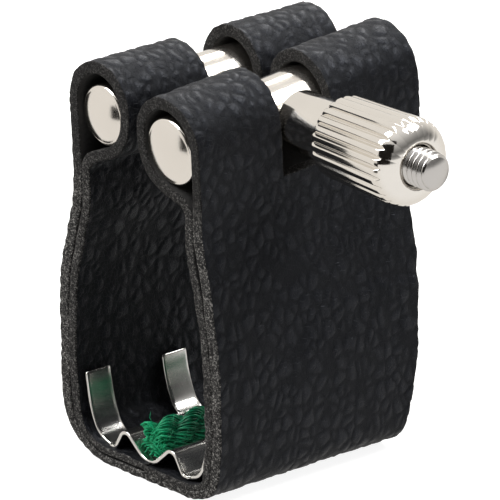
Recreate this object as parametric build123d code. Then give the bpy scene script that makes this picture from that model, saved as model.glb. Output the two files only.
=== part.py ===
from build123d import *
import math
import os

# Saxophone ligature: a leather band with two metal bars in its looped ends, drawn
# together by a stud and a thumb nut, and a sheet-metal reed plate inside its floor.
# Millimetres.  +Z is up (the bars are on top), +Y runs along the mouthpiece and +X
# points to the thumb nut.  The origin is on the band's flat underside, midway between
# the bars and straight below the stud.

# --- leather band ------------------------------------------------------------------
wall_length = 25.7          # along Y, above the trimmed part of the rear edge
left_loop_length = 27.0     # the looped ends are a little longer than the walls
right_loop_length = 27.6
rear_trim = 2.1             # the rear edge leans forward towards the underside
trim_height = 20.0          # below this height
strap = 1.4                 # thickness of the outer leather
lining = 1.2                # thickness of the inner leather on the side walls
floor_lining = 0.2          # the lining is pressed thin under the reed plate
half_floor = {-1: 5.61, 1: 6.07}     # flat underside, left and right of the middle
side_bends = {              # radius and turn of each side's arcs, underside to waist
    -1: [(8.7, 34.0), (4.2, 49.0), (49.0, 25.3), (14.3, -18.3)],
    1: [(7.5, 30.0), (3.2, 50.0), (50.0, 24.0), (26.0, -14.0)],
}
waist_height = 30.29        # the walls end and the loops begin here
hole_radius = {-1: 3.3, 1: 3.5}      # the loops lie loosely round the bars
loop_strap = 1.3            # the leather is drawn a little thinner round the bars
loop_rise = 0.4             # slack above the bar height
loop_drop = 0.35            # and below it
loop_tilt = {-1: -1.4, 1: 2.6}       # the loops lie a little askew, in degrees
tilt_room = 1.2             # leather drawn below the loops before they are cut level
split_rise = 0.9            # tip of the wedge-shaped space under each bar
slip_gap = 0.3              # gap under the moving loops, where the leather flexes
notch_width = 6.2           # slot between the front and rear loops
notch_height = 31.4         # bottom of that slot

# --- bars --------------------------------------------------------------------------
left_bar_radius = 3.1
right_bar_radius = 3.45     # thicker, because the stud passes through it
bar_height = 36.2           # height of the bar axes
bar_reach = 5.25            # distance of each bar axis from the middle
bar_length = 26.0
bar_dome = 0.8              # height of each domed end
left_bar_gap = -0.1         # the bars' front ends stand a little out of the loops
right_bar_gap = -0.4
left_bar_tilt = 0.1         # about the stud's axis, rear end up, in degrees
right_bar_tilt = 4.1

# --- stud and thumb nut ------------------------------------------------------------
stud_radius = 1.95
stud_start = -7.2           # blind end, inside the left bar
stud_tip = 29.4
tip_chamfer = 0.35
cross_hole_radius = 2.1     # the right bar slides along the stud
nut_bore_radius = 2.0
nut_start = bar_reach + right_bar_radius + 0.02
neck_radius = 3.0
neck_length = 6.725
knurl_length = 9.4
knurl_radius_inner = 4.15   # at the neck
knurl_radius_outer = 4.45   # at the dome
knurl_ribs = 26
groove_radius = 0.42
nut_dome = 2.1
dome_face_radius = 2.5
edge_break = 0.35

# --- reed plate and damping cord -----------------------------------------------------
sheet = 0.4
plate_length = 23.0
plate_inset = 0.5           # from the band's front edge
plate_half_floor = 6.1      # the feet end here, and the arms bend up
foot_bend = 5.2             # the feet turn up to the ridges here
ridge_offset = 3.7          # distance of each ridge from the middle
ridge_rise = 2.5            # ridge corner above the floor, before rounding
groove_bend = 2.15          # mid-sheet radius of the groove that cradles the cord
groove_drop = 0.68          # groove corner below the floor, before rounding
arm_width = 3.0
arm_margin = 0.2            # first arm, from the front end of the plate
arm_pitch = 9.4
arm_count = 3
arm_bends = {               # (distance from the middle, height) of each arm's corners
    -1: [(7.95, 2.36), (9.15, 5.0), (9.65, 8.3)],
    1: [(7.7, 2.36), (8.75, 4.9), (9.13, 8.0)],
}
cord_radius = 1.92
cord_length = 21.0
cord_inset = 0.9            # from the plate's front edge

floor_height = strap + floor_lining + 0.01
front = -13.5               # the band's front edge
plate_front = front + plate_inset
cord_front = plate_front + cord_inset


def waist_point(side):
    """Where one side's arcs end: distance from the middle, and height."""
    heading = 0.0
    outward = half_floor[side]
    upward = 0.0
    for radius, turn in side_bends[side]:
        signed = math.copysign(radius, turn)
        ahead = heading + math.radians(turn)
        outward += signed * (math.sin(ahead) - math.sin(heading))
        upward += signed * (math.cos(heading) - math.cos(ahead))
        heading = ahead
    return outward, upward


half_waist = {side: waist_point(side)[0] for side in (-1, 1)}


def along_y(section, start, length):
    """Extrude a section drawn in XZ from Y = start to Y = start + length."""
    plane = Plane(origin=(0, start, 0), x_dir=(1, 0, 0), z_dir=(0, -1, 0))
    return extrude(plane * section, amount=-length)


def side_arcs(side, inset):
    """One side of the outline, from the underside up to the waist, as tangent arcs."""
    start = (side * half_floor[side], inset)
    heading = 0 if side > 0 else 180
    arcs = []
    for radius, turn in side_bends[side]:
        tangent = (math.cos(math.radians(heading)), math.sin(math.radians(heading)))
        offset_radius = radius - math.copysign(inset, turn)
        arcs.append(JernArc(start, tangent, offset_radius, side * turn))
        start = arcs[-1] @ 1
        heading += side * turn
    return arcs


def outline(inset=0.0):
    """The band's outer outline seen from the front, or one offset inward from it."""
    top = waist_height + 4
    sides = {side: side_arcs(side, inset) for side in (-1, 1)}
    corners = {side: (side * (half_waist[side] - inset), top) for side in (-1, 1)}
    edges = [Line((-half_floor[-1], inset), (half_floor[1], inset)), *sides[1], *sides[-1]]
    edges += [Line(sides[side][-1] @ 1, corners[side]) for side in (-1, 1)]
    edges.append(Line(corners[-1], corners[1]))
    return make_face(Curve() + edges)


def below(section, height):
    """The part of a section that lies below a height."""
    return section & Pos(0, height - 50) * Rectangle(100, 100)


def teardrop(centre, radius, apex):
    """A disc joined to a point outside it by its two tangents."""
    run = Vector(apex[0] - centre[0], apex[1] - centre[1])
    heading = math.atan2(run.Y, run.X)
    spread = math.acos(radius / run.length)
    touch = [
        (centre[0] + radius * math.cos(heading + side * spread),
         centre[1] + radius * math.sin(heading + side * spread))
        for side in (-1, 1)
    ]
    wedge = make_face(Polyline(apex, touch[0], centre, touch[1], apex))
    return Pos(*centre) * Circle(radius) + wedge


def loose_ring(side, radius, feet):
    """A disc with slack above and below the bar height, joined to points beneath it."""
    low = (side * bar_reach, bar_height - loop_drop)
    slack = loop_rise + loop_drop
    shape = Pos(low[0], low[1] + slack) * Circle(radius)
    shape += Pos(low[0], low[1] + slack / 2) * Rectangle(2 * radius, slack)
    for foot in feet:
        shape += teardrop(low, radius, foot)
    return shape


def loop_section(side, base):
    """Leather over one bar and down both sides to where strap and lining part."""
    outer = side * half_waist[side]
    inner = side * (half_waist[side] - strap - lining)
    split = (side * (half_waist[side] - strap), base + split_rise)
    ring = hole_radius[side] + loop_strap
    centre = (side * bar_reach, bar_height)
    foot = make_face(Polyline(centre, (outer, base), (inner, base), centre))
    leather = loose_ring(side, ring, [(outer, base), (inner, base)]) + foot
    below_foot = Pos((outer + inner) / 2, base - tilt_room / 2) * Rectangle(
        strap + lining, tilt_room
    )
    return leather - loose_ring(side, hole_radius[side], [split]) + below_foot


def tilted(shape, angle):
    """Turn a shape about the stud's axis."""
    return Pos(0, 0, bar_height) * Rot(angle, 0, 0) * Pos(0, 0, -bar_height) * shape


def make_loops(side, base, length):
    """Front and rear loops around one bar, cut level at their base."""
    loops = tilted(along_y(loop_section(side, base), front, length), loop_tilt[side])
    ground = Pos(0, 0, base - 10) * Box(60, 60, 20)
    slot = Pos(0, 0, notch_height + 10) * Box(60, notch_width, 20)
    return loops - ground - slot


def band_wall(section):
    """One layer of the band below the loops, with its rear edge trimmed."""
    rear = front + wall_length
    corners = [(rear, trim_height), (rear + 5, trim_height), (rear + 5, -1), (rear - rear_trim, -1)]
    wedge = extrude(Plane.YZ * make_face(Polyline(*corners, close=True)), amount=30, both=True)
    return along_y(below(section, waist_height), front, wall_length) - wedge


def make_strap():
    """The outer leather, with both of its left loops in one piece with the wall."""
    return band_wall(outline() - outline(strap)) + make_loops(-1, waist_height, left_loop_length)


def make_right_loops():
    """The right end of the leather, which moves with the right bar."""
    return make_loops(1, waist_height + slip_gap, right_loop_length)


def make_lining():
    """The inner leather, from one waist down over the floor to the other waist."""
    inner = Pos(0, floor_lining - lining) * outline(strap + lining)
    return band_wall(outline(strap) - inner)


def bar_blank(x, radius, gap, angle):
    """A polished bar along Y with shallow domed ends, turned about the stud's axis."""
    half = bar_length / 2
    sphere = (radius ** 2 + bar_dome ** 2) / (2 * bar_dome)
    rod = Rot(90, 0, 0) * Cylinder(radius, bar_length)
    for side in (-1, 1):
        rod &= Pos(0, side * (half - sphere), 0) * Sphere(sphere) + Pos(
            0, -side * sphere, 0
        ) * Box(20, 2 * half, 20)
    middle = front + gap + half
    return tilted(Pos(x, middle, bar_height) * rod, angle)


def rod_along_x(radius, start, end):
    """A cylinder on the stud's axis from X = start to X = end."""
    return Pos((start + end) / 2, 0, bar_height) * Rot(0, 90, 0) * Cylinder(radius, end - start)


def make_left_bar():
    """The left bar, with a blind hole that the stud is fixed in."""
    blank = bar_blank(-bar_reach, left_bar_radius, left_bar_gap, left_bar_tilt)
    return blank - rod_along_x(stud_radius, stud_start, 0)


def make_right_bar():
    """The right bar, bored through so that it slides on the stud."""
    blank = bar_blank(bar_reach, right_bar_radius, right_bar_gap, right_bar_tilt)
    return blank - rod_along_x(cross_hole_radius, 0, 2 * bar_reach)


def make_stud():
    """The threaded stud at its major diameter, with a chamfered tip."""
    rod = rod_along_x(stud_radius, stud_start, stud_tip)
    return chamfer(rod.edges().group_by(Axis.X)[-1], tip_chamfer)


def make_thumb_nut():
    """A bored nut: smooth neck, straight-ribbed conical grip and domed outer end."""
    knurl_start = nut_start + neck_length
    knurl_end = knurl_start + knurl_length
    dome_end = knurl_end + nut_dome
    profile = Curve() + [
        Polyline(
            (nut_start, nut_bore_radius),
            (nut_start, neck_radius - edge_break),
            (nut_start + edge_break, neck_radius),
            (knurl_start, neck_radius),
            (knurl_start, knurl_radius_inner - edge_break),
            (knurl_start + edge_break, knurl_radius_inner),
            (knurl_end, knurl_radius_outer),
        ),
        ThreePointArc(
            (knurl_end, knurl_radius_outer),
            (knurl_end + 0.62 * nut_dome, knurl_radius_outer - 0.85),
            (dome_end, dome_face_radius),
        ),
        Polyline(
            (dome_end, dome_face_radius),
            (dome_end, nut_bore_radius),
            (nut_start, nut_bore_radius),
        ),
    ]
    blank = revolve(make_face(profile), Axis.X)
    taper = math.degrees(math.atan((knurl_radius_outer - knurl_radius_inner) / knurl_length))
    reach = (knurl_radius_inner + knurl_radius_outer) / 2
    middle = (knurl_start + knurl_end) / 2 - 0.3
    groove = Pos(middle, 0, reach + 0.12) * Rot(0, 90 - taper, 0) * Cylinder(
        groove_radius, knurl_length + 0.2
    )
    grooves = [Rot(360 * turn / knurl_ribs, 0, 0) * groove for turn in range(knurl_ribs)]
    return Pos(0, 0, bar_height) * (blank - grooves)


def make_reed_plate():
    """Thin springy sheet: a groove between two ridges, and bent-up arms at both sides."""
    middle = floor_height + sheet / 2
    wave = FilletPolyline(
        (-plate_half_floor, middle),
        (-foot_bend, middle),
        (-ridge_offset, middle + ridge_rise),
        (0, middle - groove_drop),
        (ridge_offset, middle + ridge_rise),
        (foot_bend, middle),
        (plate_half_floor, middle),
        radius=[0.5, 0.95, groove_bend, 0.95, 0.5],
    )
    plate = along_y(trace(wave, sheet), plate_front, plate_length)
    for side in (-1, 1):
        arm = FilletPolyline(
            (side * (plate_half_floor - 0.6), middle),
            (side * (plate_half_floor + 0.1), middle),
            *[(side * reach, height) for reach, height in arm_bends[side]],
            radius=[1.0, 1.4, 3.0],
        )
        for index in range(arm_count):
            start = plate_front + arm_margin + index * arm_pitch
            plate += along_y(trace(arm, sheet), start, arm_width)
    return plate


def make_cord():
    """The short green cord that lies in the groove of the reed plate."""
    height = floor_height + sheet / 2 + groove_bend
    rod = Rot(90, 0, 0) * Cylinder(cord_radius, cord_length)
    rod = fillet(rod.edges(), 0.35)
    return Pos(0, cord_front + cord_length / 2, height) * rod


parts = {
    "leather_strap": make_strap(),
    "leather_right_loops": make_right_loops(),
    "inner_lining": make_lining(),
    "left_bar": make_left_bar(),
    "right_bar": make_right_bar(),
    "clamp_stud": make_stud(),
    "thumb_nut": make_thumb_nut(),
    "reed_plate": make_reed_plate(),
    "damping_cord": make_cord(),
}

os.makedirs("parts", exist_ok=True)
for name, shape in parts.items():
    shape.label = name
    export_step(shape, f"parts/{name}.step")
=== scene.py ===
import math
import random

import bmesh
import bpy
import numpy as np
from mathutils import Matrix, Vector, noise


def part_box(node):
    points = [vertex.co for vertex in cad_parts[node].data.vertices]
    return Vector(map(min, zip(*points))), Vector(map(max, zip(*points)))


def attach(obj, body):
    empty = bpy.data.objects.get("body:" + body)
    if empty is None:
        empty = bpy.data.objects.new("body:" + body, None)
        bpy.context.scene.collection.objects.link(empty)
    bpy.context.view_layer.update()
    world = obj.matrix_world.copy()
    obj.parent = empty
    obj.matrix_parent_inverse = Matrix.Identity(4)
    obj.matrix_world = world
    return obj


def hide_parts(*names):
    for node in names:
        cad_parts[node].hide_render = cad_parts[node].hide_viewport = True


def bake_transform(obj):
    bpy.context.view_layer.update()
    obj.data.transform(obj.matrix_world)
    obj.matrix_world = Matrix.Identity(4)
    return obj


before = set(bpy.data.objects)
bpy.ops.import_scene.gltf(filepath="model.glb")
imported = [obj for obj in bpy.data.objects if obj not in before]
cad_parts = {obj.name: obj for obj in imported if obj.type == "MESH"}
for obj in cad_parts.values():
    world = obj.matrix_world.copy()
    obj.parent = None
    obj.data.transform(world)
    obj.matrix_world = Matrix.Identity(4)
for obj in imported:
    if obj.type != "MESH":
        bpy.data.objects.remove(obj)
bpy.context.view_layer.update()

# Saxophone ligature.  Shapes are worked out in millimetres in the CAD frame (+Z up,
# +X towards the thumb nut, +Y along the mouthpiece) and scaled to metres at the end.
MM = 0.001
random.seed(7)


def box_mm(node):
    """Lowest and highest corner of a CAD node, in millimetres."""
    low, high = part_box(node)
    return np.array(low) / MM, np.array(high) / MM


stud_low, stud_high = box_mm("clamp_stud")
nut_low, nut_high = box_mm("thumb_nut")
right_bar_box = box_mm("right_bar")
left_bar_box = box_mm("left_bar")
plate_low, plate_high = box_mm("reed_plate")
cord_low, cord_high = box_mm("damping_cord")

bar_height = (stud_low[2] + stud_high[2]) / 2      # height of the stud and the bar axes
bar_reach = (right_bar_box[0][0] + right_bar_box[1][0]) / 2
bar_radius = {side: (b[1][0] - b[0][0]) / 2 for side, b in ((-1, left_bar_box), (1, right_bar_box))}
bar_end = {-1: left_bar_box[0][1], 1: right_bar_box[0][1]}
front = box_mm("inner_lining")[0][1]
wall_back = box_mm("inner_lining")[1][1]

strap = 1.4                 # outer leather
lining = 1.2                # inner leather on the walls
floor_total = 1.6           # both layers under the reed plate
loop_length = {-1: 27.0, 1: 27.6}
loop_tilt = {-1: -1.4, 1: 2.6}
bar_tilt = {-1: 0.1, 1: 4.1}
half_floor = {-1: 5.61, 1: 6.07}
side_bends = {
    -1: [(8.7, 34.0), (4.2, 49.0), (49.0, 25.3), (14.3, -18.3)],
    1: [(7.5, 30.0), (3.2, 50.0), (50.0, 24.0), (26.0, -14.0)],
}
hole_radius = {-1: 3.3, 1: 3.5}
loop_strap = 1.3            # the leather round the bars
loop_rise = 0.4             # slack over the bars
loop_drop = 0.35            # and under them
notch_half = 3.1
notch_bottom = 31.4
fold_radius = 1.2
rear_trim = 2.0             # the rear edge leans forward towards the underside
trim_height = 20.0          # below this height
column_counts = (52, 32, 48)    # cells across the hide in front of, in and behind the notch


# --- numbers and noise ---------------------------------------------------------------
def smoothstep(low, high, x):
    """0 below low, 1 above high, smooth between."""
    t = np.clip((np.asarray(x, float) - low) / (high - low), 0, 1)
    return t * t * (3 - 2 * t)


def sampled(function, *grids):
    """A function of plain numbers, over arrays of one shape."""
    flat = [np.asarray(g, float).ravel() for g in grids]
    values = [function(*p) for p in zip(*flat)]
    return np.array(values).reshape(np.asarray(grids[0]).shape)


def soft_noise(x, y, z):
    """Smooth noise between about -1 and 1."""
    return noise.noise(Vector((x, y, z)))


def pebble(u, v, seed):
    """Leather grain at a place on the hide, in mm: 1 on a pebble, 0 in the crease round it."""
    bend_u = 0.34 * noise.noise(Vector((u * 0.55, v * 0.55, seed + 3.1)))
    bend_v = 0.34 * noise.noise(Vector((u * 0.55, v * 0.55, seed + 9.7)))
    spot = Vector((u / 1.62 + bend_u, v / 1.18 + bend_v, seed))
    near = noise.voronoi(spot)[0]
    wide = float(np.clip((near[1] - near[0]) / 0.42, 0, 1))
    fine = noise.voronoi(spot * 2.3 + Vector((5.0, 2.0, 0.0)))[0]
    small = float(np.clip((fine[1] - fine[0]) / 0.3, 0, 1))
    return wide * wide * (3 - 2 * wide) * (0.8 + 0.2 * small)


# --- paths -----------------------------------------------------------------------------
def walk(start, heading, moves, step, block):
    """Sample lines and arcs laid end to end.  Each move is (length,) or (radius, turn in
    degrees, left positive) and gets a whole number of blocks of steps.
    Returns the points, the headings in degrees and the index at which each move ends."""
    points = [np.array(start, float)]
    headings = [heading]
    ends = []
    for move in moves:
        length = move[0] if len(move) == 1 else math.radians(abs(move[1])) * move[0]
        count = block * max(1, round(length / (block * step)))
        for _ in range(count):
            turn = 0 if len(move) == 1 else move[1] / count
            chord = length / count
            if turn:
                half = math.radians(abs(turn)) / 2
                chord *= math.sin(half) / half
            middle = math.radians(headings[-1] + turn / 2)
            points.append(points[-1] + chord * np.array((math.cos(middle), math.sin(middle))))
            headings.append(headings[-1] + turn)
        ends.append(len(points) - 1)
    return np.array(points), np.array(headings), ends


def corner_moves(corners, radii):
    """Moves and first heading for a line through corners that are rounded to radii."""
    corners = [np.array(c, float) for c in corners]
    runs = [b - a for a, b in zip(corners, corners[1:])]
    angles = [math.degrees(math.atan2(r[1], r[0])) for r in runs]
    turns = [(b - a + 180) % 360 - 180 for a, b in zip(angles, angles[1:])]
    cuts = [0] + [r * math.tan(math.radians(abs(t)) / 2) for r, t in zip(radii, turns)] + [0]
    moves = []
    for k, run in enumerate(runs):
        moves.append((max(1e-3, float(np.hypot(*run)) - cuts[k] - cuts[k + 1]),))
        if k < len(turns):
            moves.append((radii[k], turns[k]))
    return moves, angles[0]


# --- mesh builders ---------------------------------------------------------------------
def link_mesh(name, vertices, faces, slots, materials):
    """A mesh object from vertices in millimetres, with a material index for each face."""
    mesh = bpy.data.meshes.new(name)
    mesh.from_pydata((np.asarray(vertices) * MM).tolist(), [], faces)
    for m in materials:
        mesh.materials.append(m)
    mesh.polygons.foreach_set("material_index", np.asarray(slots, np.int32))
    mesh.polygons.foreach_set("use_smooth", np.full(len(faces), True))
    work = bmesh.new()
    work.from_mesh(mesh)
    bmesh.ops.recalc_face_normals(work, faces=work.faces)
    work.to_mesh(mesh)
    work.free()
    mesh.update()
    made = bpy.data.objects.new(name, mesh)
    bpy.context.scene.collection.objects.link(made)
    return made


def rim_loops(mask):
    """The closed loops round the True cells of a mask, as (corner, cell inside) pairs."""
    rows, cols = mask.shape
    padded = np.zeros((rows + 2, cols + 2), bool)
    padded[1:-1, 1:-1] = mask
    after = {}
    for i, j in np.argwhere(mask):
        for di, dj, a, b in (
            (-1, 0, (i, j + 1), (i, j)),
            (0, -1, (i, j), (i + 1, j)),
            (1, 0, (i + 1, j), (i + 1, j + 1)),
            (0, 1, (i + 1, j + 1), (i, j + 1)),
        ):
            if not padded[i + 1 + di, j + 1 + dj]:
                after[a] = (b, (i, j))
    loops = []
    while after:
        start, (corner, cell) = after.popitem()
        loop = [(start, cell)]
        while corner != start:
            following, cell = after.pop(corner)
            loop.append((corner, cell))
            corner = following
        loops.append(loop)
    return loops


def slab(top, bottom, mask, block, rim_steps, rim_out, rough=None, square=3.0):
    """A closed sheet between two grids of points, where mask says there is material.
    The rim bulges outward by rim_out with rounded corners, and rough(point) moves it.
    The bottom is laid in cells of block steps.  Returns vertices, faces, slots, source,
    where slots are 0 top, 1 rim, 2 bottom, and source is each vertex's grid corner."""
    vertices = []
    source = []
    numbers = {}

    def put(side, i, j):
        key = (side, i, j)
        if key not in numbers:
            numbers[key] = len(vertices)
            vertices.append((top if side == 0 else bottom)[i, j])
            source.append((i, j))
        return numbers[key]

    faces = []
    slots = []
    for i, j in np.argwhere(mask):
        faces.append([put(0, i, j), put(0, i + 1, j), put(0, i + 1, j + 1), put(0, i, j + 1)])
        slots.append(0)
    coarse = mask[::block, ::block]
    padded = np.zeros((coarse.shape[0] + 2, coarse.shape[1] + 2), bool)
    padded[1:-1, 1:-1] = coarse
    for a, b in np.argwhere(coarse):
        i, j = a * block, b * block
        corners = [(i, j), (i, j + block), (i + block, j + block), (i + block, j)]
        outside = [(-1, 0), (0, 1), (1, 0), (0, -1)]
        ring = []
        for k, (di, dj) in enumerate(outside):
            p = corners[k]
            q = corners[(k + 1) % 4]
            ring.append(put(1, *p))
            if not padded[a + 1 + di, b + 1 + dj]:
                for s in range(1, block):
                    along = (p[0] + (q[0] - p[0]) * s // block, p[1] + (q[1] - p[1]) * s // block)
                    ring.append(put(1, *along))
        faces.append(ring)
        slots.append(2)
    for pairs in rim_loops(mask):
        count = len(pairs)
        loop = [corner for corner, _ in pairs]
        cells = np.array([top[i, j] + top[i + 1, j + 1] for _, (i, j) in pairs]) / 2
        tops = np.array([top[c] for c in loop])
        bottoms = np.array([bottom[c] for c in loop])
        along = np.roll(tops, -1, 0) - np.roll(tops, 1, 0)
        across = tops - bottoms
        out = np.cross(across, along)
        out /= np.linalg.norm(out, axis=1)[:, None] + 1e-12
        out *= np.sign(np.sum(out * (tops - cells), axis=1))[:, None]
        rings = [[put(0, *c) for c in loop]]
        for step in range(1, rim_steps):
            angle = math.pi * step / rim_steps
            up = math.copysign(abs(math.cos(angle)) ** (2 / square), math.cos(angle))
            push = math.sin(angle) ** (2 / square) * rim_out
            ring = (tops + bottoms) / 2 + across / 2 * up + out * push
            if rough is not None:
                ring = ring + out * np.array([rough(*p) for p in ring])[:, None] * math.sin(angle)
            first = len(vertices)
            vertices.extend(ring)
            source.extend(loop)
            rings.append(list(range(first, first + count)))
        rings.append([put(1, *c) for c in loop])
        for near, far in zip(rings, rings[1:]):
            for k in range(count):
                n = (k + 1) % count
                faces.append([near[k], near[n], far[n], far[k]])
                slots.append(1)
    return np.array(vertices), faces, slots, np.array(source)


def lathe(stations, radius_at, turns, axis="x", ends="cap"):
    """A surface of revolution, or nearly one: radius_at(station, angle) in millimetres.
    stations are (place along the axis, key) pairs, and ends is cap or join."""
    angles = np.arange(turns) * 2 * math.pi / turns
    vertices = []
    for place, key in stations:
        for angle in angles:
            r = radius_at(key, angle)
            vertices.append((place, r * math.cos(angle), r * math.sin(angle)))
    faces = []
    last = len(stations) if ends == "join" else len(stations) - 1
    for k in range(last):
        for t in range(turns):
            n = (t + 1) % turns
            m = (k + 1) % len(stations)
            faces.append([k * turns + t, m * turns + t, m * turns + n, k * turns + n])
    if ends == "cap":
        faces.append([t for t in range(turns)])
        faces.append([(len(stations) - 1) * turns + t for t in reversed(range(turns))])
    vertices = np.array(vertices)
    if axis == "y":
        vertices = vertices[:, [2, 0, 1]]
    return vertices, faces, [0] * len(faces)


# --- materials ---------------------------------------------------------------------------
def new_material(name):
    """An empty node material with its shader and output."""
    made = bpy.data.materials.new(name)
    made.use_nodes = True
    tree = made.node_tree
    tree.nodes.clear()
    shader = tree.nodes.new("ShaderNodeBsdfPrincipled")
    output = tree.nodes.new("ShaderNodeOutputMaterial")
    tree.links.new(shader.outputs[0], output.inputs["Surface"])
    return made, tree, shader


def node(tree, kind, inputs=(), **settings):
    """Add a node.  inputs are (socket, value or output) pairs."""
    made = tree.nodes.new("ShaderNode" + kind)
    for key, value in settings.items():
        setattr(made, key, value)
    for key, value in inputs:
        if isinstance(value, bpy.types.NodeSocket):
            tree.links.new(value, made.inputs[key])
        else:
            made.inputs[key].default_value = value
    return made


def flat_coords(tree, scale):
    """Texture coordinates in millimetres on the hide, stretched by scale."""
    place = node(tree, "Attribute", attribute_name="hide")
    return node(tree, "Mapping", [("Vector", place.outputs["Vector"]), ("Scale", scale)]).outputs[0]


def object_coords(tree, scale):
    """Texture coordinates in millimetres in the object's frame, stretched by scale."""
    place = node(tree, "TexCoord").outputs["Object"]
    return node(tree, "Mapping", [("Vector", place), ("Scale", tuple(s / MM for s in scale))]).outputs[0]


def ramp(tree, factor, low, high, first, last):
    """factor from low..high turned into first..last, clamped."""
    limits = [("From Min", low), ("From Max", high), ("To Min", first), ("To Max", last)]
    return node(tree, "MapRange", [("Value", factor), *limits]).outputs[0]


def mix_colour(tree, factor, first, last):
    """Blend two colours by a factor socket."""
    made = node(tree, "Mix", data_type="RGBA")
    for key, value in ((0, factor), (6, first), (7, last)):
        if isinstance(value, bpy.types.NodeSocket):
            tree.links.new(value, made.inputs[key])
        else:
            made.inputs[key].default_value = value
    return made.outputs[2]


def leather_material():
    """Black pebbled hide: slight sheen on the pebbles, rougher and painted darker in the creases (painted
    shade), fine pores.
    """
    made, tree, shader = new_material("leather_black_pebbled")
    crease = node(tree, "Attribute", attribute_name="crease").outputs["Fac"]
    hide = flat_coords(tree, (1, 1, 1))
    pores = node(tree, "TexNoise", [("Vector", hide), ("Scale", 9.0), ("Detail", 4.0), ("Roughness", 0.6)])
    patches = node(tree, "TexNoise", [("Vector", hide), ("Scale", 0.35), ("Detail", 2.0)])
    long_hide = flat_coords(tree, (0.7, 1, 1))
    wrinkles = node(
        tree, "TexVoronoi", [("Vector", long_hide), ("Scale", 2.6)], feature="DISTANCE_TO_EDGE"
    )
    dark, light = (0.0028, 0.0031, 0.0044, 1), (0.0052, 0.0057, 0.0078, 1)
    face = mix_colour(tree, patches.outputs["Fac"], dark, light)
    # painted shade: the creases round the pebbles are painted near-black
    colour = mix_colour(tree, crease, face, (0.0009, 0.0009, 0.0012, 1))
    tree.links.new(colour, shader.inputs["Base Color"])
    satin = ramp(tree, pores.outputs["Fac"], 0.3, 0.7, 0.33, 0.47)
    duller = ramp(tree, crease, 0, 1, 0, 0.25)
    rough = node(tree, "Math", [(0, satin), (1, duller)], operation="ADD")
    tree.links.new(rough.outputs[0], shader.inputs["Roughness"])
    shader.inputs["Specular IOR Level"].default_value = 0.25
    shader.inputs["Specular Tint"].default_value = (0.84, 0.89, 1.0, 1)
    fine = node(
        tree, "Bump", [("Strength", 0.35), ("Distance", 0.00003), ("Height", pores.outputs["Fac"])]
    )
    cut = ramp(tree, wrinkles.outputs["Distance"], 0.0, 0.06, 0.0, 1.0)
    shape = [("Strength", 0.7), ("Distance", 0.00006), ("Height", cut)]
    deep = node(tree, "Bump", [*shape, ("Normal", fine.outputs[0])])
    tree.links.new(deep.outputs[0], shader.inputs["Normal"])
    return made


def cut_edge_material():
    """Raw cut edge of the hide: dark, with pale fibres that are painted fainter as shade where the inner
    attribute is high.
    """
    made, tree, shader = new_material("leather_cut_edge")
    place = object_coords(tree, (1, 1, 1))
    fibres = node(
        tree, "TexNoise", [("Vector", place), ("Scale", 4.2), ("Detail", 5.0), ("Roughness", 0.7)]
    )
    specks = node(tree, "TexVoronoi", [("Vector", place), ("Scale", 8.5), ("Randomness", 1.0)])
    parts = node(tree, "SeparateColor", [("Color", specks.outputs["Color"])])
    pale = ramp(tree, fibres.outputs["Fac"], 0.42, 0.58, 0.1, 1.0)
    dotted = ramp(tree, parts.outputs[0], 0.45, 0.95, 0.03, 1.0)
    amount = node(tree, "Math", [(0, pale), (1, dotted)], operation="MULTIPLY").outputs[0]
    # painted shade: the inner attribute fades the pale fibres on the lining's edge and round the bar loops
    inner = node(tree, "Attribute", attribute_name="inner").outputs["Fac"]
    edge_shade_factor = ramp(tree, inner, 0.0, 1.0, 1.0, 0.25)
    amount = node(tree, "Math", [(0, amount), (1, edge_shade_factor)], operation="MULTIPLY").outputs[0]
    colour = mix_colour(tree, amount, (0.0045, 0.0042, 0.0042, 1), (0.27, 0.262, 0.25, 1))
    tree.links.new(colour, shader.inputs["Base Color"])
    shader.inputs["Roughness"].default_value = 0.92
    shader.inputs["Specular IOR Level"].default_value = 0.25
    height = fibres.outputs["Fac"]
    bump = node(tree, "Bump", [("Strength", 0.9), ("Distance", 0.00012), ("Height", height)])
    tree.links.new(bump.outputs[0], shader.inputs["Normal"])
    return made


def flesh_material():
    """The hide's suede back."""
    made, tree, shader = new_material("leather_flesh_side")
    place = object_coords(tree, (1, 1, 1))
    nap = node(tree, "TexNoise", [("Vector", place), ("Scale", 3.0), ("Detail", 6.0)])
    colour = mix_colour(tree, nap.outputs["Fac"], (0.004, 0.004, 0.0042, 1), (0.022, 0.021, 0.020, 1))
    tree.links.new(colour, shader.inputs["Base Color"])
    shader.inputs["Roughness"].default_value = 0.95
    bump = node(tree, "Bump", [("Strength", 0.6), ("Distance", 0.0001), ("Height", nap.outputs["Fac"])])
    tree.links.new(bump.outputs[0], shader.inputs["Normal"])
    return made


def nickel_material(name, tint, rough, brushed):
    """Polished nickel plate with faint polishing lines and a little haze."""
    made, tree, shader = new_material(name)
    along = object_coords(tree, brushed)
    lines = node(tree, "TexNoise", [("Vector", along), ("Scale", 1.0), ("Detail", 3.0), ("Roughness", 0.6)])
    wide = object_coords(tree, (0.3, 0.3, 0.3))
    haze = node(tree, "TexNoise", [("Vector", wide), ("Scale", 1.0), ("Detail", 3.0)])
    dim = tuple(c * 0.93 for c in tint)
    colour = mix_colour(tree, haze.outputs["Fac"], (*dim, 1), (*tint, 1))
    tree.links.new(colour, shader.inputs["Base Color"])
    shader.inputs["Metallic"].default_value = 1.0
    spread = ramp(tree, lines.outputs["Fac"], 0.3, 0.7, rough * 0.8, rough * 1.35)
    tree.links.new(spread, shader.inputs["Roughness"])
    height = lines.outputs["Fac"]
    bump = node(tree, "Bump", [("Strength", 0.08), ("Distance", 0.00002), ("Height", height)])
    tree.links.new(bump.outputs[0], shader.inputs["Normal"])
    return made


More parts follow.
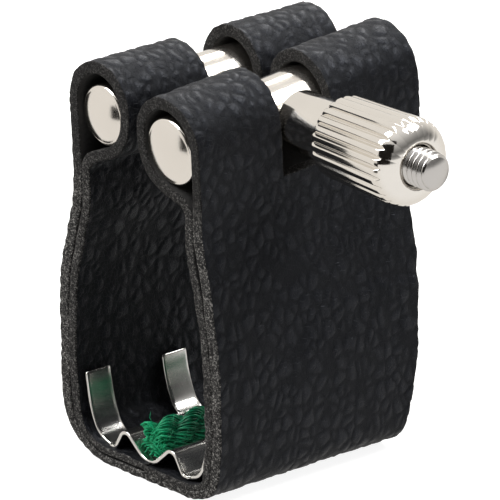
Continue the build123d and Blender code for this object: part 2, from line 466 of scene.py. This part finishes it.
def cord_material():
    """Emerald fibre, silky, with a painted highlight on its lit front end."""
    made, tree, shader = new_material("cord_emerald")
    tone_and_lit_end = node(tree, "Attribute", attribute_name="tone_and_lit_end").outputs["Fac"]
    along = object_coords(tree, (4, 1.2, 4))
    streak = node(tree, "TexNoise", [("Vector", along), ("Scale", 1.0), ("Detail", 3.0)])
    # painted highlight: tone_and_lit_end also lightens the cord's front end, besides the random colour of
    # each filament
    base = mix_colour(tree, tone_and_lit_end, (0.0, 0.035, 0.016, 1), (0.002, 0.30, 0.125, 1))
    paler = ramp(tree, streak.outputs["Fac"], 0.42, 0.7, 0.0, 0.5)
    colour = mix_colour(tree, paler, base, (0.006, 0.34, 0.16, 1))
    tree.links.new(colour, shader.inputs["Base Color"])
    shader.inputs["Roughness"].default_value = 0.45
    shader.inputs["Specular IOR Level"].default_value = 0.25
    shader.inputs["Sheen Weight"].default_value = 0.2
    shader.inputs["Sheen Roughness"].default_value = 0.35
    shader.inputs["Sheen Tint"].default_value = (0.35, 1.0, 0.6, 1)
    return made


# --- leather -----------------------------------------------------------------------------
def tangent_line(start, centre, radius, side):
    """Heading and length of the line from a point that touches a circle beyond it."""
    run = np.array(centre) - np.array(start)
    reach = float(np.hypot(*run))
    swing = math.degrees(math.asin(radius / reach))
    return math.degrees(math.atan2(run[1], run[0])) + side * swing, math.sqrt(reach ** 2 - radius ** 2)


def inset_bends(side, inset):
    """The arcs of one side's wall for a line that lies inset from the outer face."""
    return [(r - math.copysign(inset, t), t) for r, t in side_bends[side]]


def hide_path(side):
    """The grain side of one half of the band, from the middle of the underside out, up,
    round the bar and down inside to the middle of the floor, drawn towards +X.
    Returns points, headings, arc lengths and the rows between which the notch lies."""
    outer, _, _ = walk((half_floor[side], 0), 0, side_bends[side], 0.05, 1)
    waist = outer[-1]
    ring = hole_radius[side] + loop_strap
    high = (bar_reach, bar_height + loop_rise)
    low = (bar_reach, bar_height - loop_drop)
    up_heading, up_length = tangent_line(waist, high, ring, -1)
    foot = waist - np.array((strap + lining, 0))
    back, tail = tangent_line(foot, low, ring, 1)
    tail_heading = back - 180
    fold = tail_heading + 90
    cut = fold_radius * math.tan(math.radians(fold) / 2)
    to_notch = (notch_bottom - waist[1]) / math.sin(math.radians(up_heading))
    touch_height = foot[1] + tail * math.sin(math.radians(back))
    into_tail = max(0.2, (touch_height - notch_bottom) / math.sin(math.radians(back)))
    moves = [(half_floor[side],), *side_bends[side], (4.0, up_heading - 90)]
    moves += [(to_notch,), (up_length - to_notch,)]
    moves += [(ring, 180 + 90 - up_heading), (loop_rise + loop_drop,), (ring, 360 + tail_heading - 270)]
    moves += [(into_tail,), (tail - into_tail - cut,), (fold_radius, -fold)]
    moves.append((max(0.2, strap + lining - floor_total - cut),))
    moves += [(r, -t) for r, t in reversed(inset_bends(side, strap + lining))] + [(half_floor[side],)]
    points, headings, ends = walk((0, 0), 0, moves, 0.2, 4)
    steps = np.hypot(*np.diff(points, axis=0).T)
    return points, headings, np.concatenate(([0], np.cumsum(steps))), ends[6], ends[11]


def hide_columns():
    """Places across the hide, from 0 to 1 in front of, in and behind the notch."""
    parts = [np.linspace(k, k + 1, c, endpoint=False) for k, c in enumerate(column_counts)]
    return np.concatenate(parts + [[3.0]])


def folds(y, z):
    """The soft folds pressed into the right wall, in mm outward."""
    line = z - 19.4 + 0.1 * y
    crease = 0.11 * np.exp(-((line + 1.3) / 0.9) ** 2) - 0.17 * np.exp(-(line / 0.8) ** 2)
    wrinkles = sampled(lambda b, c: 0.09 * soft_noise(b * 0.75, c * 0.22, 4.0), y, z)
    low = smoothstep(2, 7, z) * (1 - smoothstep(13, 20, z))
    return crease * smoothstep(-8, 5, y) + wrinkles * low


def make_hide(side, name, materials):
    """One half of the leather: outer strap, loop round the bar and inner lining."""
    points, headings, lengths, notch_start, notch_end = hide_path(side)
    columns = hide_columns()
    rows, cols = len(points), len(columns)
    x = points[:, 0]
    z = points[:, 1]
    rim = 0.14
    level = smoothstep(24, 33, z)

    def front_wobble(u):
        return 0.16 * soft_noise(u * 0.16, 3.0 * side, 5.0) + 0.05 * soft_noise(u * 0.9, 1.0, 8.0 * side)

    def rear_wobble(u):
        return 0.22 * soft_noise(u * 0.13, 7.0 * side, 2.0) + 0.06 * soft_noise(u * 0.8, 4.0, 3.0 * side)

    wobble = sampled(front_wobble, lengths)
    back_wave = sampled(rear_wobble, lengths)
    near = front + rim + wobble * (1 - 0.7 * level)
    far = wall_back + (front + loop_length[side] - wall_back) * level - rim + back_wave
    far = far - rear_trim * np.clip(1 - z / trim_height, 0, 1)
    stops = np.stack([near, np.full(rows, -notch_half - rim), np.full(rows, notch_half + rim), far], 1)
    y = np.stack([np.interp(columns, (0, 1, 2, 3), s) for s in stops])

    heading = np.radians(headings)
    inward = np.stack([-np.sin(heading), np.cos(heading)], 1)
    inner = lengths > lengths[notch_end]
    level_part = np.clip(np.where(inner, -np.cos(heading), np.cos(heading)), 0, 1)
    total = strap + lining - (strap + lining - floor_total) * level_part
    first = total * strap / (strap + lining) - 0.004
    second = total * lining / (strap + lining) - 0.004
    tail = smoothstep(lengths[notch_end] - 2, lengths[notch_end] + 2, lengths)
    on_ring = (lengths > lengths[notch_start]) & (lengths <= lengths[notch_end])
    thick = np.where(on_ring, loop_strap, np.where(inner, second, first))
    thick = np.where(on_ring | inner, thick * (1 - tail) + tail * np.where(inner, second, lining), thick)

    hide_u = side * np.repeat(lengths[:, None], cols, 1)
    seed = 11.0
    grain = sampled(lambda u, v: pebble(u, v, seed), hide_u, y)
    depth = sampled(lambda u, v: 0.12 + 0.05 * soft_noise(u * 0.22, v * 0.22, seed), hide_u, y)
    sink = depth * (1 - grain)

    def place(offset):
        px = x[:, None] + inward[:, :1] * offset
        pz = z[:, None] + inward[:, 1:] * offset
        return px, y.copy(), pz

    def wall_wave(b, c):
        broad = soft_noise(b * 0.11 + 4 * side, c * 0.13, 6.0)
        return 0.34 * broad + 0.10 * soft_noise(b * 0.3, c * 0.35, 2.0 * side)

    def shaped(px, py, pz):
        """Mirror to this side, add the soft waves of the wall, then turn with the bar."""
        fade = smoothstep(9, 15, pz) * (1 - smoothstep(26, 31, pz))
        wave = sampled(wall_wave, py, pz)
        px = px + np.minimum(wave, 0.16) * fade
        px = px + folds(py, pz) * (side > 0)
        angle = np.radians(loop_tilt[side]) * smoothstep(26.5, 31.5, pz)
        ry = py * np.cos(angle) - (pz - bar_height) * np.sin(angle)
        rz = bar_height + py * np.sin(angle) + (pz - bar_height) * np.cos(angle)
        return np.stack([side * px, ry, rz], -1)

    top = shaped(*place(sink))
    bottom = shaped(*place(np.repeat(thick[:, None], cols, 1)))
    mask = np.ones((rows - 1, cols - 1), bool)
    mask[notch_start:notch_end, column_counts[0]:sum(column_counts[:2])] = False

    def fibres(a, b, c):
        coarse = noise.noise(Vector((a * 3.1, b * 3.1, c * 3.1)))
        return 0.035 * coarse + 0.03 * noise.noise(Vector((a * 8, b * 8, c * 8)))

    if side < 0:
        top, bottom, mask = top[:, ::-1], bottom[:, ::-1], mask[:, ::-1]
        grain, hide_u, y = grain[:, ::-1], hide_u[:, ::-1], y[:, ::-1]
    vertices, faces, slots, source = slab(top, bottom, mask, 4, 7, rim, fibres, square=4.5)
    made = link_mesh(name, vertices, faces, slots, materials)
    i, j = source[:, 0], source[:, 1]
    # crease is 1 in the creases round the pebbles: the leather paints shade there and makes them rougher
    crease = made.data.attributes.new("crease", "FLOAT", "POINT")
    crease.data.foreach_set("value", (1 - grain[i, j]).astype(np.float32))
    # painted shade on the cut edge: half strength on the lining, full strength round the bar loops
    edge_shade_values = made.data.attributes.new("inner", "FLOAT", "POINT")
    edge_shade = np.maximum(inner * 0.5, smoothstep(27, 32, z))
    edge_shade_values.data.foreach_set("value", edge_shade[i].astype(np.float32))
    hide = made.data.attributes.new("hide", "FLOAT_VECTOR", "POINT")
    flat = np.stack([hide_u[i, j], y[i, j], np.full(len(i), seed)], 1)
    hide.data.foreach_set("vector", flat.astype(np.float32).ravel())
    return made


# --- metal pieces --------------------------------------------------------------------------
def make_bar(side, name, material):
    """A turned bar with polished domed ends, lying along Y and tilted a little."""
    dome = 0.8
    half = 13.0
    wide = bar_radius[side]
    sphere = (wide ** 2 + dome ** 2) / (2 * dome)
    edge = 0.35
    profile = [(-half, 0.02)]
    for k in range(1, 26):
        r = (wide - edge) * k / 25
        profile.append((-half + sphere - math.sqrt(sphere ** 2 - r ** 2), r))
    lead = profile[-1]
    for k in range(1, 9):
        a = math.pi / 2 * k / 8
        profile.append((lead[0] + edge * 1.1 * (1 - math.cos(a)), lead[1] + edge * math.sin(a)))
    rear = [(-p, r) for p, r in reversed(profile)]
    body = [(p, wide) for p in np.linspace(profile[-1][0], rear[0][0], 42)[1:-1]]
    stations = [(p, r) for p, r in profile + body + rear]
    vertices, faces, slots = lathe(stations, lambda r, a: r, 96, axis="y")
    angle = math.radians(bar_tilt[side])
    middle = bar_end[side] + (half + wide * math.tan(angle)) * math.cos(angle) - wide * math.sin(angle)
    y = vertices[:, 1] + middle
    z = vertices[:, 2]
    cos, sin = math.cos(angle), math.sin(angle)
    x = vertices[:, 0] + side * bar_reach
    moved = np.stack([x, y * cos - z * sin, bar_height + y * sin + z * cos], 1)
    return link_mesh(name, moved, faces, slots, [material])


def make_nut(material):
    """Smooth neck, straight-ribbed conical grip and domed outer end, bored through."""
    ribs = 26
    start = nut_low[0]
    tip = nut_high[0]
    grip_length = 9.4
    grip_end = tip - 2.1
    grip = grip_end - grip_length
    bore = 2.08

    def grip_radius(x):
        return 4.15 + 0.3 * (x - grip) / grip_length


    sweep = math.radians(74)

    def dome(t):
        """A point on the outer end, from the grip's edge to the flat face."""
        a = t * sweep
        fall = (math.cos(a) - math.cos(sweep)) / (1 - math.cos(sweep))
        return grip_end + 2.1 * math.sin(a) / math.sin(sweep), 2.5 + (4.45 - 2.5) * fall

    body = [(start, bore + 0.1, 0), (start, 2.72, 0)]
    quarter = math.pi / 2
    body += [
        (start + 0.3 * (1 - math.cos(a)), 2.7 + 0.3 * math.sin(a), 0)
        for a in np.linspace(0.2, quarter, 6)
    ]
    body += [(x, 3.0, 0) for x in np.linspace(start + 0.4, grip - 0.12, 16)]
    body += [(grip, 3.08, 0), (grip, 3.3, 0), (grip, 3.55, 1), (grip, 3.75, 1)]
    body += [
        (grip + 0.34 * (1 - math.cos(a)), 3.81 + 0.34 * math.sin(a), 1)
        for a in np.linspace(0.15, quarter, 7)
    ]
    body += [(x, grip_radius(x), 1) for x in np.linspace(grip + 0.5, grip_end - 0.1, 30)]
    body += [(*dome(t), 1) for t in np.linspace(0.0, 1, 30)]
    body += [(tip, 2.42, 1), (tip - 0.06, 2.3, 0), (tip - 0.32, bore + 0.02, 0), (tip - 1.2, bore, 0)]
    body += [(x, bore, 0) for x in np.linspace(tip - 3, start + 0.4, 8)]

    def radius(key, angle):
        place, r, ribbed = key
        if not ribbed:
            return r
        phase = (angle * ribs / (2 * math.pi)) % 1.0
        off = abs(phase - 0.5) * 2
        dip = 0.36 * max(0.0, 1 - off / 0.52) ** 0.8
        floor = grip_radius(place) - dip
        crown = 0.05 * (1 - off) ** 2
        return min(r - crown * 0.5, floor) if dip > 0 else r - crown * 0.5

    stations = [(key[0], key) for key in body]
    vertices, faces, slots = lathe(stations, radius, ribs * 18, ends="join")
    vertices[:, 2] += bar_height
    return link_mesh("thumb_nut_turned", vertices, faces, slots, [material])


def make_stud(material):
    """The clamping stud, threaded from the bars to its chamfered tip."""
    pitch = 0.7
    major = (stud_high[2] - stud_low[2]) / 2
    tip = stud_high[0]
    depth = 0.36
    places = [stud_low[0], 8.3]
    places += list(np.arange(8.5, 22.9, pitch / 6))
    places += list(np.arange(23.0, tip - 0.001, pitch / 14))
    places += [tip]

    def radius(x, angle):
        if x < 8.4:
            return major
        phase = (x / pitch - angle / (2 * math.pi)) % 1.0
        ridge = 1 - min(1.0, max(0.0, abs(phase - 0.5) * 2 - 0.12) / 0.76)
        r = major - depth * (1 - ridge)
        limit = major - 0.42 + 0.9 * (tip - x)
        return min(r, limit)

    vertices, faces, slots = lathe([(x, x) for x in places], radius, 72)
    vertices[:, 2] += bar_height
    return link_mesh("clamp_stud_threaded", vertices, faces, slots, [material])


def make_plate(material):
    """Springy sheet: a groove between two ridges, and arms bent up along both walls."""
    sheet = 0.38
    middle = plate_low[2] + 0.2
    wave = [(3.7, middle + 2.5), (5.2, middle), (6.2, middle)]
    left_arm = [(7.95, 2.36), (9.15, 5.0), (9.65, 8.3)]
    right_arm = [(7.7, 2.36), (8.75, 4.9), (9.13, 8.0)]
    corners = [(-a, b) for a, b in reversed(wave + left_arm)] + [(0.0, middle - 0.68)] + wave + right_arm
    radii = [12.0, 2.6, 1.0, 0.5, 0.95, 2.15, 0.95, 0.5, 1.0, 2.2, 10.0]
    moves, heading = corner_moves(corners, radii)
    points, headings, ends = walk(corners[0], heading, moves, 0.16, 1)
    angle = np.radians(headings)
    up = np.stack([-np.sin(angle), np.cos(angle)], 1)
    rim = 0.1
    length = plate_high[1] - plate_low[1]
    arm_start = 0.2
    arm_width = 3.0
    arm_pitch = 9.4
    rear_arm_top = 7.75         # the second and third arms end a little lower
    stops = [rim]
    for k in range(3):
        begin = arm_start + k * arm_pitch
        stops += [begin + rim, begin + arm_width - rim]
    stops.append(length - rim)
    y = []
    inside = []
    for k, (a, b) in enumerate(zip(stops, stops[1:])):
        count = max(1, round((b - a) / 0.35))
        y += list(np.linspace(a, b, count, endpoint=False))
        inside += [k % 2 == 1] * count
    y = plate_low[1] + np.array(y + [stops[-1]])
    arm_cols = np.array(inside)
    low_row, high_row = ends[5], ends[-7]
    mask = np.zeros((len(points) - 1, len(y) - 1), bool)
    mask[low_row:high_row] = True
    mask[:, arm_cols] = True
    rear_arms = y[:-1] > plate_low[1] + arm_start + arm_width + 1
    tall = (points[:-1, 1] > rear_arm_top)[:, None] & rear_arms[None, :]
    mask[tall] = False
    grid = np.zeros((len(points), len(y), 3))
    grid[..., 0] = points[:, :1]
    grid[..., 1] = y
    grid[..., 2] = points[:, 1:]
    lift = np.zeros_like(grid)
    lift[..., 0] = up[:, :1]
    lift[..., 2] = up[:, 1:]
    top = grid + lift * sheet / 2
    bottom = grid - lift * sheet / 2
    vertices, faces, slots, _ = slab(top, bottom, mask, 1, 6, rim, square=2.6)
    return link_mesh("reed_plate_sprung", vertices, faces, [0] * len(faces), [material])


# --- cord ------------------------------------------------------------------------------------
def filament(path, radius, sides=6):
    """A thin tube along a list of points, with closed ends."""
    path = np.array(path)
    ahead = np.gradient(path, axis=0)
    ahead /= np.linalg.norm(ahead, axis=1)[:, None]
    side = np.cross(ahead, np.array((0.0, 0.0, 1.0)))
    side /= np.linalg.norm(side, axis=1)[:, None] + 1e-9
    other = np.cross(side, ahead)
    angles = np.arange(sides) * 2 * math.pi / sides
    taper = np.ones(len(path))
    taper[0] = taper[-1] = 0.55
    ring = np.cos(angles)[None, :, None] * side[:, None] + np.sin(angles)[None, :, None] * other[:, None]
    rings = path[:, None] + radius * taper[:, None, None] * ring
    faces = []
    for k in range(len(path) - 1):
        for s in range(sides):
            n = (s + 1) % sides
            faces.append([k * sides + s, k * sides + n, (k + 1) * sides + n, (k + 1) * sides + s])
    faces.append(list(reversed(range(sides))))
    faces.append([(len(path) - 1) * sides + s for s in range(sides)])
    return rings.reshape(-1, 3), faces


def make_cord(material):
    """Three twisted plies of fine filaments, cut at both ends with a short fuzz."""
    centre = (cord_low + cord_high) / 2
    rng = random.Random(21)
    length = cord_high[1] - cord_low[1]
    vertices = []
    faces = []
    tones = []

    def add(path, radius, tone_and_lit_end, sides=6):
        made, made_faces = filament(path, radius, sides)
        first = sum(len(v) for v in vertices)
        vertices.append(made)
        faces.extend([[first + k for k in f] for f in made_faces])
        tones.extend([tone_and_lit_end] * len(made))

    ply_radius = 0.86
    count = 52
    for ply in range(3):
        for f in range(count):
            spread = math.sqrt((f + 0.5) / count) * 1.14
            spin = f * 2.399963 + rng.uniform(-0.2, 0.2)
            begin = cord_low[1] - 0.5 + abs(rng.gauss(0, 0.3))
            end = cord_high[1] - 0.05 - abs(rng.gauss(0, 0.28))
            path = []
            for y in np.linspace(begin, end, 48):
                lay = 2 * math.pi * (y / 9.5 + ply / 3)
                inner = spin - 2 * math.pi * y / 6.5
                flare = 1 + 0.10 * math.exp(-(y - cord_low[1]) / 0.9)
                flare += 0.08 * math.exp(-(cord_high[1] - y) / 0.9)
                wander = 0.05 * noise.noise(Vector((y * 0.5, f * 3.1, ply * 7.7)))
                px = ply_radius * math.cos(lay) + (spread * ply_radius + wander) * flare * math.cos(inner)
                pz = ply_radius * math.sin(lay) + (spread * ply_radius + wander) * flare * math.sin(inner)
                path.append((centre[0] + px, y, centre[2] + pz))
            add(path, rng.uniform(0.075, 0.12), rng.random(), 5)
    for k in range(70):
        turn = rng.uniform(0, 2 * math.pi)
        reach = rng.uniform(1.6, 1.86)
        y = cord_low[1] + rng.uniform(0.2, length - 1.5)
        run = rng.uniform(0.6, 1.8)
        lift = rng.uniform(0.02, 0.22)
        path = []
        for t in np.linspace(0, 1, 9):
            out = reach + lift * math.sin(math.pi * t * 0.6)
            a = turn + 0.5 * t
            path.append((centre[0] + out * math.cos(a), y + run * t, centre[2] + out * math.sin(a)))
        add(path, 0.03, rng.random(), 4)
    stray = [(-0.6, 0.35, 1.35), (-0.95, 0.2, 1.9), (-1.0, 0.4, 2.5)]
    add([(centre[0] + a, cord_low[1] + b, centre[2] + c) for a, b, c in stray], 0.03, 0.9, 4)
    core = [(centre[0], y, centre[2]) for y in np.linspace(cord_low[1] + 0.7, cord_high[1] - 0.7, 20)]
    # the solid core stops the cord being seen through; its darkest green is painted shade deep between the
    # plies
    add(core, 1.2, 0.0, 16)
    made = link_mesh("green_cord_twisted", np.concatenate(vertices), faces, [0] * len(faces), [material])
    tone_and_lit_end = made.data.attributes.new("tone_and_lit_end", "FLOAT", "POINT")
    depth = np.concatenate(vertices)[:, 1] - cord_low[1]
    # painted highlight: the front end is painted lighter, on top of each filament's random colour
    lit = np.array(tones) * 0.45 + 0.95 * np.exp(-np.clip(depth + 0.4, 0, None) / 1.3)
    tone_and_lit_end.data.foreach_set("value", np.clip(lit, 0, 1).astype(np.float32))
    return made


# --- stage -------------------------------------------------------------------------------------
def make_floor():
    """A wide pale floor that the object stands on."""
    bpy.ops.mesh.primitive_plane_add(size=1.4, location=(0, 0, -0.00003))
    floor = bpy.context.object
    floor.name = "studio_floor"
    made, tree, shader = new_material("studio_floor_white")
    shader.inputs["Base Color"].default_value = (0.35, 0.35, 0.35, 1)
    shader.inputs["Emission Color"].default_value = (1, 1, 1, 1)
    shader.inputs["Emission Strength"].default_value = 0.9
    shader.inputs["Roughness"].default_value = 0.9
    shader.inputs["Specular IOR Level"].default_value = 0.1
    floor.data.materials.append(made)
    floor.visible_diffuse = False
    floor.visible_glossy = False


def towards(azimuth, elevation):
    """The direction from the object to a place on the stage, from angles in degrees."""
    a = math.radians(azimuth)
    e = math.radians(elevation)
    return Vector((math.sin(a) * math.cos(e), -math.cos(a) * math.cos(e), math.sin(e)))


def softbox(name, azimuth, elevation, distance, size, power):
    """An area light that faces the object's middle."""
    light = bpy.data.lights.new(name, "AREA")
    light.shape = "RECTANGLE"
    light.size, light.size_y = size
    light.energy = power
    made = bpy.data.objects.new(name, light)
    back = towards(azimuth, elevation)
    made.location = Vector((0, 0, 0.02)) + back * distance
    made.rotation_mode = "QUATERNION"
    made.rotation_quaternion = (-back).to_track_quat("-Z", "Y")
    bpy.context.scene.collection.objects.link(made)


def dark_card(name, azimuth, elevation, distance, size):
    """A black card that the metal reflects and the camera doesn't see."""
    back = towards(azimuth, elevation)
    bpy.ops.mesh.primitive_plane_add(size=1.0, location=Vector((0, 0, 0.02)) + back * distance)
    card = bpy.context.object
    card.name = name
    card.rotation_mode = "QUATERNION"
    card.rotation_quaternion = (-back).to_track_quat("-Z", "Y")
    card.scale = (size[0], size[1], 1)
    made, tree, shader = new_material(name + "_black")
    shader.inputs["Base Color"].default_value = (0.01, 0.009, 0.008, 1)
    shader.inputs["Roughness"].default_value = 1.0
    shader.inputs["Specular IOR Level"].default_value = 0.0
    card.data.materials.append(made)
    card.visible_camera = False
    card.visible_shadow = False


def light_scene():
    """Pale surroundings, soft boxes and dark cards for contrast in the metal."""
    world = bpy.data.worlds.new("studio")
    world.use_nodes = True
    tree = world.node_tree
    direction = tree.nodes.new("ShaderNodeTexCoord").outputs["Generated"]
    parts = node(tree, "SeparateXYZ", [("Vector", direction)])
    shade = node(tree, "ValToRGB", [("Fac", ramp(tree, parts.outputs["Z"], -1, 1, 0, 1))])
    bands = shade.color_ramp
    world_greys = ((0.0, 0.95), (0.485, 0.95), (0.52, 0.34), (0.6, 0.16), (0.72, 0.35), (1.0, 0.9))
    for k, (place, grey) in enumerate(world_greys):
        stop = bands.elements[k] if k < 2 else bands.elements.new(place)
        stop.position = place
        stop.color = (grey, grey * 0.985, grey * 0.97, 1)
    bright = ramp(tree, parts.outputs["X"], -0.15, 0.45, 1.0, 0.0)
    both = mix_colour(tree, bright, shade.outputs[0], (0.86, 0.83, 0.79, 1))
    tree.links.new(both, tree.nodes["Background"].inputs[0])
    tree.nodes["Background"].inputs[1].default_value = 1.0
    bpy.context.scene.world = world
    bpy.context.scene.view_settings.view_transform = "Standard"
    softbox("key_top", -30, 60, 0.6, (0.3, 0.5), 5.0)
    softbox("rear_right", 142, 52, 0.7, (0.32, 0.3), 3.0)
    softbox("rear_left", -150, 36, 0.7, (0.35, 0.3), 2.0)
    dark_card("card_high", 32, 25, 0.9, (1.15, 0.8))
    dark_card("card_front", -6, -6, 0.9, (0.4, 0.3))


def place_camera():
    """A long lens from the photographer's side, turned a little about its own axis."""
    azimuth, elevation, roll = (math.radians(d) for d in (51.34, 20.62, -1.85))
    level = math.cos(elevation)
    back = Vector((math.sin(azimuth) * level, -math.cos(azimuth) * level, math.sin(elevation)))
    right = Vector((math.cos(azimuth), math.sin(azimuth), 0))
    up = back.cross(right)
    turned_right = right * math.cos(roll) + up * math.sin(roll)
    turned_up = up * math.cos(roll) - right * math.sin(roll)
    span = 48.436
    aim = Vector((2, 0, 20)) - turned_right * 0.92 + turned_up * 0.853
    data = bpy.data.cameras.new("camera")
    data.sensor_width = 36
    distance = 1600
    data.lens = data.sensor_width * distance / span
    data.clip_start = 0.05
    data.clip_end = 50
    camera = bpy.data.objects.new("camera", data)
    camera.location = (aim + back * distance) * MM
    camera.rotation_mode = "QUATERNION"
    basis = np.array([turned_right, turned_up, back]).T
    camera.rotation_quaternion = Matrix(basis.tolist()).to_quaternion()
    bpy.context.scene.collection.objects.link(camera)
    bpy.context.scene.camera = camera


# --- assembly ------------------------------------------------------------------------------------
leather = [leather_material(), cut_edge_material(), flesh_material()]
bar_nickel = nickel_material("nickel_bars", (0.86, 0.82, 0.765), 0.15, (6, 0.5, 6))
nut_nickel = nickel_material("nickel_nut", (0.86, 0.825, 0.77), 0.1, (0.8, 5, 5))
# painted shade: the stud's nickel is painted darker than the nut's, for the shade in its threads
stud_nickel_shaded = nickel_material("nickel_stud_painted_darker", (0.60, 0.58, 0.555), 0.2, (0.8, 5, 5))
plate_nickel = nickel_material("nickel_plate", (0.74, 0.73, 0.70), 0.17, (3, 0.4, 3))

left_hide = make_hide(-1, "leather_hide_left", leather)
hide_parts("leather_strap", "inner_lining")
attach(left_hide, "band")

right_hide = make_hide(1, "leather_hide_right", leather)
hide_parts("leather_right_loops")
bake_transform(right_hide)

left_bar = make_bar(-1, "left_bar_polished", bar_nickel)
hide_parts("left_bar")
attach(left_bar, "band")

right_bar = make_bar(1, "right_bar_polished", bar_nickel)
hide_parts("right_bar")
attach(right_bar, "clamp_bar")

nut = make_nut(nut_nickel)
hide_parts("thumb_nut")
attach(nut, "nut")

stud = make_stud(stud_nickel_shaded)
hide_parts("clamp_stud")
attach(stud, "band")

plate = make_plate(plate_nickel)
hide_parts("reed_plate")
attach(plate, "band")

cord = make_cord(cord_material())
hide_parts("damping_cord")
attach(cord, "band")

make_floor()
light_scene()
place_camera()
